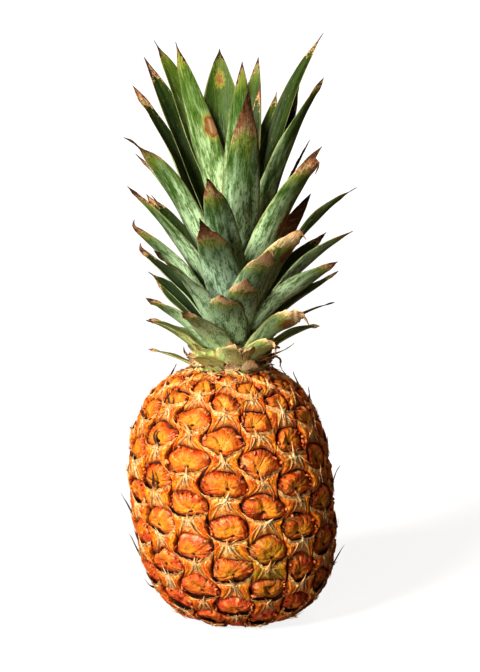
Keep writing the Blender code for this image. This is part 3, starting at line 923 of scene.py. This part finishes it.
def make_bract_points():
    """The dry point that rises from each bract over its eye, and its frayed pale fibres."""
    rng = np.random.default_rng(37)
    sheets = Sheets()
    part = np.linspace(0.0, 1.0, 12)
    for turn, along, radius, tall in EYES:
        if along < POINTS_START:
            continue
        fade = end_fade(along) * (0.3 + 0.7 * smooth_step(along, 0.004, 0.018))
        seen_end_on = abs(np.cos(turn)) < 0.75
        long_one = rng.uniform() < (0.36 if seen_end_on else 0.10) and along > 2.0 * POINTS_START
        length = rng.uniform(0.0120, 0.0170) if long_one else rng.uniform(0.0060, 0.0100)
        sway = rng.uniform(-0.0030, 0.0030)
        curl = rng.uniform(-0.0030, 0.0030) if long_one else 0.0
        x = sway * part ** 1.5 + curl * np.sin(part * 7.0) * part
        y = (-0.0088 + length * 0.86 * part) * tall
        rise = rng.uniform(0.0018, 0.0052) if long_one else rng.uniform(0.0004, 0.0014)
        lift = (0.0018 + 0.0014 * np.sin(part * pi * 0.7) + rise * part ** 2.2) * fade
        tone = rng.uniform(0.0, 1.0)
        width = rng.uniform(0.0010, 0.0017)
        taper = 0.7 if long_one else 1.1
        thick = width * (1.0 - part) ** taper * np.minimum(1.0, 0.4 + part * 4.0) + 0.00010
        fibre(sheets, turn, along, radius, x, y, lift, thick, 0.35, 6,
              1.0 if long_one else rng.uniform(0, 0.25), tone)
        prongs = [(rng.choice((-1, 1)) * rng.uniform(0.2, 1.0), rng.uniform(0.002, 0.005))
                  for _ in range(3)]
        for hand in (-1, 1):
            prongs.append((hand * rng.uniform(1.35, 1.70), rng.uniform(0.004, 0.0085)))
            prongs.append((hand * rng.uniform(2.25, 2.75), rng.uniform(0.004, 0.0080)))
            prongs.append((hand * rng.uniform(1.2, 3.0), rng.uniform(0.002, 0.0055)))
        for heading, length in prongs:
            if rng.uniform() < 0.18:
                continue
            root_x = rng.normal(0.0, 0.0012)
            root_y = -FAN_ROOT * tall - rng.uniform(-0.0006, 0.0016)
            bow = rng.uniform(-0.35, 0.35)
            x = root_x + length * np.sin(heading + bow * part) * part
            y = root_y + length * np.cos(heading + bow * part) * part
            lift = (0.0024 + rng.uniform(0.0002, 0.0010) * part) * fade
            thick = rng.uniform(0.00022, 0.00050) * (1.0 - part) ** 0.7 + 0.00004
            fibre(sheets, turn, along, radius, x, y, lift, thick, 0.5, 4,
                  rng.uniform(0, 0.5) ** 2, tone * rng.uniform(0.2, 1.0))
    finish_piece(sheets.piece("bract_points", point_material()), "fruit_skin")


def make_rind_floor():
    """The floor of the crevices, under every eye and bract."""
    azimuth = np.linspace(0.0, 2.0 * pi, 220, endpoint=False)[None, :]
    along = np.linspace(SKIN_ALONG[0], SKIN_ALONG[-1], 130)[:, None]
    rough = 0.0004 * np.sin(azimuth * 29 + along * 900) * np.sin(along * 1500)
    inward = -FLOOR_DEPTH * end_fade(along) + rough * end_fade(along)
    sheets = Sheets()
    sheets.add(on_skin(azimuth, along, inward), wrap=True)
    finish_piece(sheets.piece("rind_floor", crevice_material()), "fruit_skin")


# ---------------------------------------------------------------- the crown
def stem_radius(share):
    """Radius of the crown's stem at a share of its length."""
    return STEM_RADIUS * (1.0 - STEM_TAPER * share ** 1.5)


def crown_place(x, y, height):
    """Points of the upright crown moved to their place on the leaning one."""
    return np.stack([x + CROWN_SHIFT + CROWN_LEAN * height, y + 0.0 * x, height + CROWN_BASE], -1)


def leaf_width(part, dry_start, shrink):
    """Width along a leaf as a share of its widest; the dried end is shrunken."""
    width = (0.88 + 0.12 * np.minimum(part / 0.2, 1.0)) * (1.0 - part ** 3.0) ** 0.95
    dried = smooth_step(part, dry_start - 0.02, dry_start + 0.20)
    return np.maximum(width * (1.0 - shrink * dried), 0.012)


def blade_points(azimuth, base_out, seat, lean, bend, length, width, habit, part, across):
    """Middle sheet of a leaf that leaves the stem at a seat, leaning and bending outward."""
    along = part * length
    plain = lean + bend * along
    curled = plain + habit["curl"] * smooth_step(part, CURL_START, CURL_END) ** 1.3
    curled = curled + habit["fold"] * smooth_step(part, habit["kink"], habit["kink"] + 0.06)
    step = np.diff(along, axis=0)
    middle = (curled[1:] + curled[:-1]) / 2.0
    start = np.zeros((1, 1))
    out = base_out + np.concatenate([start, np.cumsum(np.sin(middle) * step, axis=0)])
    up = seat + np.concatenate([start, np.cumsum(np.cos(middle) * step, axis=0)])
    plain_out = base_out + (np.cos(lean) - np.cos(plain)) / bend
    half = width / 2.0 * leaf_width(part, habit["dry"], habit["shrink"])
    angle = across * np.minimum(half / plain_out, LEAF_REACH_ROUND)
    side = angle * plain_out
    cup = side * side / 2.0 * np.maximum(1.0 / habit["channel"] - 1.0 / plain_out, 0.0)
    wave = np.sin(part * habit["ripple"] + across * 2.0) * np.abs(across) ** 2
    wave = habit["wave"] * half * wave * smooth_step(part, 0.1, 0.4)
    crumple = habit["crumple"] * half * smooth_step(part, habit["dry"], habit["dry"] + 0.1)
    wave = wave + crumple * np.sin(part * 70.0 + across * 5.0 + habit["ripple"])
    offset_out = -plain_out * (1.0 - np.cos(angle)) + (wave - cup) * np.cos(curled)
    offset_up = (cup - wave) * np.sin(curled)
    across_part = plain_out * np.sin(angle)
    normal_part = offset_out * np.cos(curled) - offset_up * np.sin(curled)
    along_part = offset_out * np.sin(curled) + offset_up * np.cos(curled)
    twist = habit["twist"] * smooth_step(part, 0.08, 0.75) \
        + habit["tip_twist"] * smooth_step(part, habit["dry"] - 0.06, 1.0)
    turned = across_part * np.cos(twist) - normal_part * np.sin(twist)
    normal_part = across_part * np.sin(twist) + normal_part * np.cos(twist)
    out = out + normal_part * np.cos(curled) + along_part * np.sin(curled)
    up = up - normal_part * np.sin(curled) + along_part * np.cos(curled)
    turned = turned + habit["sway"] * part ** 3
    turn = radians(azimuth)
    x = out * np.sin(turn) + turned * np.cos(turn)
    y = -out * np.cos(turn) + turned * np.sin(turn)
    return crown_place(x, y, up), half * across


def sheet_normals(points):
    """Unit normals of a sheet of points."""
    down = np.gradient(points, axis=0)
    side = np.gradient(points, axis=1)
    normal = np.cross(side, down)
    return normal / np.maximum(np.linalg.norm(normal, axis=2, keepdims=True), 1e-12)


def closed_blade(middle, thickness, readings):
    """A closed leaf from its middle sheet: outer and inner face joined round the edge."""
    rows, columns = middle.shape[:2]
    normal = sheet_normals(middle)
    outer = middle + normal * thickness[..., None] / 2.0
    inner = middle - normal * thickness[..., None] / 2.0
    count = rows * columns
    outer_faces = sheet_faces(rows, columns)
    inner_faces = sheet_faces(rows, columns, count)[:, ::-1]
    index = np.arange(count).reshape(rows, columns)
    edge = np.concatenate([index[0, :-1], index[:-1, -1], index[-1, :0:-1], index[:0:-1, 0]])
    after = np.roll(edge, -1)
    rim = np.stack([after, edge, edge + count, after + count], -1)
    faces = np.concatenate([outer_faces, inner_faces, rim])
    points = np.concatenate([outer.reshape(-1, 3), inner.reshape(-1, 3)])
    doubled = {}
    for label, values in readings.items():
        flat = np.broadcast_to(values, (rows, columns)).ravel()
        doubled[label] = np.concatenate([flat, flat])
    doubled["leaf_inner"] = np.concatenate([np.zeros(count), np.ones(count)])
    return points, faces, doubled


def leaf_habit(rng):
    """How one leaf waves, twists at its end and dries."""
    return {
        "curl": 0.0, "twist": 0.0, "fold": 0.0, "kink": 0.9,
        "channel": rng.uniform(0.0105, 0.0135),
        "wave": rng.uniform(0.02, 0.07),
        "ripple": rng.uniform(8.0, 20.0),
        "crumple": rng.uniform(0.08, 0.22),
        "tip_twist": rng.uniform(-1.3, 1.3),
        "sway": rng.uniform(-0.0015, 0.0015),
        "dry": rng.uniform(0.82, 0.95),
        "shrink": rng.uniform(0.25, 0.55),
    }


def damage_at(number, part, across):
    """Where a leaf's blade is bruised brown, 1 in the middle of the bruise."""
    if number not in DAMAGE:
        return 0.0 * part * across
    place, aside, long_way, wide_way, depth = DAMAGE[number]
    return depth * np.exp(-((part - place) / long_way) ** 2 - ((across - aside) / wide_way) ** 2)


def blade(middle, habit, readings, part, across, thickness):
    """Closed blade with every reading that the leaf material asks for."""
    points, side = middle
    thick = thickness * (1.05 - 0.75 * part) * (1.0 - 0.75 * np.abs(across) ** 3)
    readings = dict(readings, leaf_along=part, leaf_across=across, leaf_side=side,
                    dry_start=habit["dry"])
    return closed_blade(points, thick, readings)


def make_leaves():
    """One detailed blade for each leaf of the crown."""
    material = leaf_material()
    part = np.linspace(0.0, 1.0, 50)[:, None]
    across = np.linspace(-1.0, 1.0, 15)[None, :]
    for number, row in enumerate(LEAVES, start=1):
        azimuth, seat, length, width, stand, curl, twist, dried, yellow = row
        rng = np.random.default_rng(500 + number)
        share = seat / 1000.0 / STEM_LENGTH
        habit = leaf_habit(rng)
        habit["curl"] = radians(curl)
        habit["twist"] = radians(twist)
        habit["dry"] = 1.0 - dried / 100.0
        if number in FOLDED_ENDS:
            habit["kink"] = FOLDED_ENDS[number][0]
            habit["fold"] = radians(FOLDED_ENDS[number][1])
        lean = radians(57.0) * (1.0 - share) ** 0.95 + radians(3.0 - stand)
        bend = radians(500.0) * (1.0 - share) ** 1.7 + radians(50.0)
        middle = blade_points(azimuth, stem_radius(share) + LEAF_THICKNESS, seat / 1000.0, lean,
                              bend, length / 1000.0, width / 1000.0, habit, part, across)
        low = 0.8 * (1.0 - smooth_step(share, 0.02, 0.22)) * (1.0 - 0.6 * part)
        readings = dict(leaf_tone=rng.uniform(0.0, 1.0), leaf_hue=yellow / 100.0, leaf_low=low,
                        leaf_run=part * length / 1000.0, damage=damage_at(number, part, across),
                        straw=0.9 if number in STRAW_ENDS else 0.15,
                        bloom=np.clip(1.15 - 0.24 * share - part * (0.45 + 0.62 * share), 0.08, 1.0))
        points, faces, readings = blade(middle, habit, readings, part, across, LEAF_THICKNESS)
        readings["leaf_inner"] = readings["leaf_inner"] * SUNLIT_INSIDE.get(number, 1.0)
        piece = mesh_piece(f"crown_leaf_{number:02d}", points, faces, readings, material)
        finish_piece(piece, "leaf", f"leaf_{number:02d}")


def make_scales(name, material, scales):
    """Many short scales, each (azimuth, radius, height, lean, bend, length, width, curl), as one."""
    rng = np.random.default_rng(71)
    part = np.linspace(0.0, 1.0, 20)[:, None]
    across = np.linspace(-1.0, 1.0, 9)[None, :]
    sheets = Sheets()
    for azimuth, radius, height, lean, bend, length, width, curl in scales:
        habit = leaf_habit(rng)
        habit["curl"] = curl
        habit["twist"] = rng.uniform(-0.25, 0.25)
        habit["dry"] = rng.uniform(0.55, 0.85) - (0.45 if radius > OUTER_SCALES else 0.0)
        habit["wave"] = rng.uniform(0.08, 0.26)
        middle = blade_points(azimuth, radius, height, lean, bend, length, width, habit, part, across)
        readings = dict(leaf_tone=rng.uniform(0.0, 1.0), leaf_hue=rng.uniform(0.6, 1.0),
                        leaf_low=0.85, leaf_run=part * length, damage=0.0, straw=0.85, bloom=0.9)
        sheets.add_faces(*blade(middle, habit, readings, part, across, SCALE_THICKNESS))
    finish_piece(sheets.piece(name, material), "leaf")


def make_foot():
    """Rings of short upright scales round the crown's foot, and dried bracts under them."""
    rng = np.random.default_rng(72)
    scales = []
    for ring, (count, radius, height, lean, length, width) in enumerate(FOOT_RINGS):
        for place in range(count):
            scales.append((360.0 * (place + 0.45 * ring) / count + rng.uniform(-6, 6),
                           radius + rng.uniform(-0.0004, 0.0006), height,
                           radians(lean + rng.uniform(-6, 8)), rng.uniform(4.0, 18.0),
                           length * rng.uniform(0.85, 1.2), width * rng.uniform(0.85, 1.1),
                           rng.uniform(-0.5, 0.9)))
    make_scales("foot_scales", leaf_material(), scales)
    dried = []
    for place in range(DRIED_BRACTS):
        dried.append((360.0 * place / DRIED_BRACTS + rng.uniform(-8, 8), rng.uniform(0.0150, 0.0185),
                      rng.uniform(-0.0015, 0.0010), radians(rng.uniform(35, 85)),
                      rng.uniform(5.0, 60.0), rng.uniform(0.005, 0.012),
                      rng.uniform(0.0020, 0.0065), rng.uniform(-0.8, 1.6)))
    for azimuth, length, curl in CURLED_STRIPS:
        dried.append((azimuth, 0.0165, 0.0035, radians(55), 20.0, length, 0.0036, curl))
    make_scales("dried_bracts", dried_bract_material(), dried)


def dress_stem():
    """The stem keeps its own shape and takes a finished material."""
    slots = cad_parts["crown_stem"].data.materials
    slots.clear()
    slots.append(stem_material())


def make_stalk():
    """The cut stalk with ragged fibre ends on its cut face."""
    rng = np.random.default_rng(5)
    azimuth = np.linspace(0.0, 2.0 * pi, 96, endpoint=False)[None, :]
    rows = np.concatenate([np.linspace(0.0, 1.0, 22), np.full(8, 1.0)])[:, None]
    rises = np.concatenate([np.zeros(22), np.linspace(0.0, 1.0, 9)[1:]])[:, None]
    ragged = 0.0002 * rng.uniform(0, 1, (30, 96)) * (rises == 0)
    flute = 1.0 + 0.02 * np.sin(azimuth * 9) * rows
    radius = (STALK_RADIUS - 0.0002) * rows * flute
    height = 0.0001 + ragged + rises * STALK_HEIGHT
    points = np.stack([radius * np.sin(azimuth), -radius * np.cos(azimuth), height], -1)
    sheets = Sheets()
    sheets.add(points, wrap=True, stalk_out=rows)
    finish_piece(sheets.piece("stalk_stub", stalk_material()), "cut_stalk", "cut_stalk")


# ---------------------------------------------------------------- studio
def make_floor():
    """A wide pale floor with a curved rise behind. It throws no light back on the fruit and
    blocks none of the light from behind."""
    sheets = Sheets()
    across = np.linspace(-6.0, 6.0, 25)[None, :]
    turn = np.linspace(0.0, pi / 2, 12)
    deep = np.concatenate([[-6.0], np.linspace(-2.0, 4.0, 7), 4.0 + 1.5 * np.sin(turn[1:]), [5.5]])
    high = np.concatenate([np.zeros(8), 1.5 - 1.5 * np.cos(turn[1:]), [6.0]])
    points = np.stack([across + 0.0 * deep[:, None], deep[:, None] + 0.0 * across,
                       high[:, None] + 0.0 * across], -1)
    sheets.add(points)
    floor = sheets.piece("studio_floor", floor_material())
    floor.visible_diffuse = False
    floor.visible_glossy = False
    floor.visible_shadow = False


def add_sun(name, aside, height, softness, strength, colour):
    """A soft light: degrees to the camera's left, degrees high and degrees across."""
    data = bpy.data.lights.new(name, "SUN")
    data.energy = strength
    data.angle = radians(softness)
    data.color = colour
    light = bpy.data.objects.new(name, data)
    light.rotation_euler = (radians(90.0 - height), 0.0, radians(-aside))
    bpy.context.scene.collection.objects.link(light)
    return light


def make_studio():
    """Camera, lights and white surroundings."""
    scene = bpy.context.scene
    data = bpy.data.cameras.new("camera")
    data.lens = 74.4
    data.sensor_width = 36.0
    data.clip_start = 0.01
    camera = bpy.data.objects.new("camera", data)
    camera.location = (0.0, -0.78, 0.257)
    camera.rotation_euler = (radians(90.0 - 7.07), 0.0, 0.0)
    scene.collection.objects.link(camera)
    scene.camera = camera
    add_sun("key", 43.0, 32.0, 12.0, 3.55, (1.0, 0.98, 0.94))
    add_sun("fill", 26.0, 5.0, 20.0, 1.75, (1.0, 0.98, 0.96))
    add_sun("behind", -150.0, 28.0, 50.0, 1.3, (1.0, 0.86, 0.70)).visible_glossy = False
    world = bpy.data.worlds.new("white_room")
    world.use_nodes = True
    tree = world.node_tree
    back = tree.nodes["Background"]
    seen = Value(add_node(tree, "LightPath").outputs["Is Camera Ray"])
    put(back.inputs["Color"], tint(seen, (1.0, 0.58, 0.34), (1.0, 1.0, 1.0)))
    put(back.inputs["Strength"], remap(seen, 0.0, 1.0, 0.055, 1.0, smooth=False))
    scene.world = world
    scene.view_settings.view_transform = "Standard"
    scene.view_settings.exposure = 0.32
    scene.view_settings.gamma = 0.84


make_rind_floor()
make_halves("rind_eyes", 11, eye_material(), dome_sheet, stands_for=("fruit",))
make_beads()
make_halves("rind_bracts", 23, bract_material(), bract_sheet, turned=True)
make_bract_points()
make_stalk()
dress_stem()
make_leaves()
make_foot()
make_floor()
make_studio()
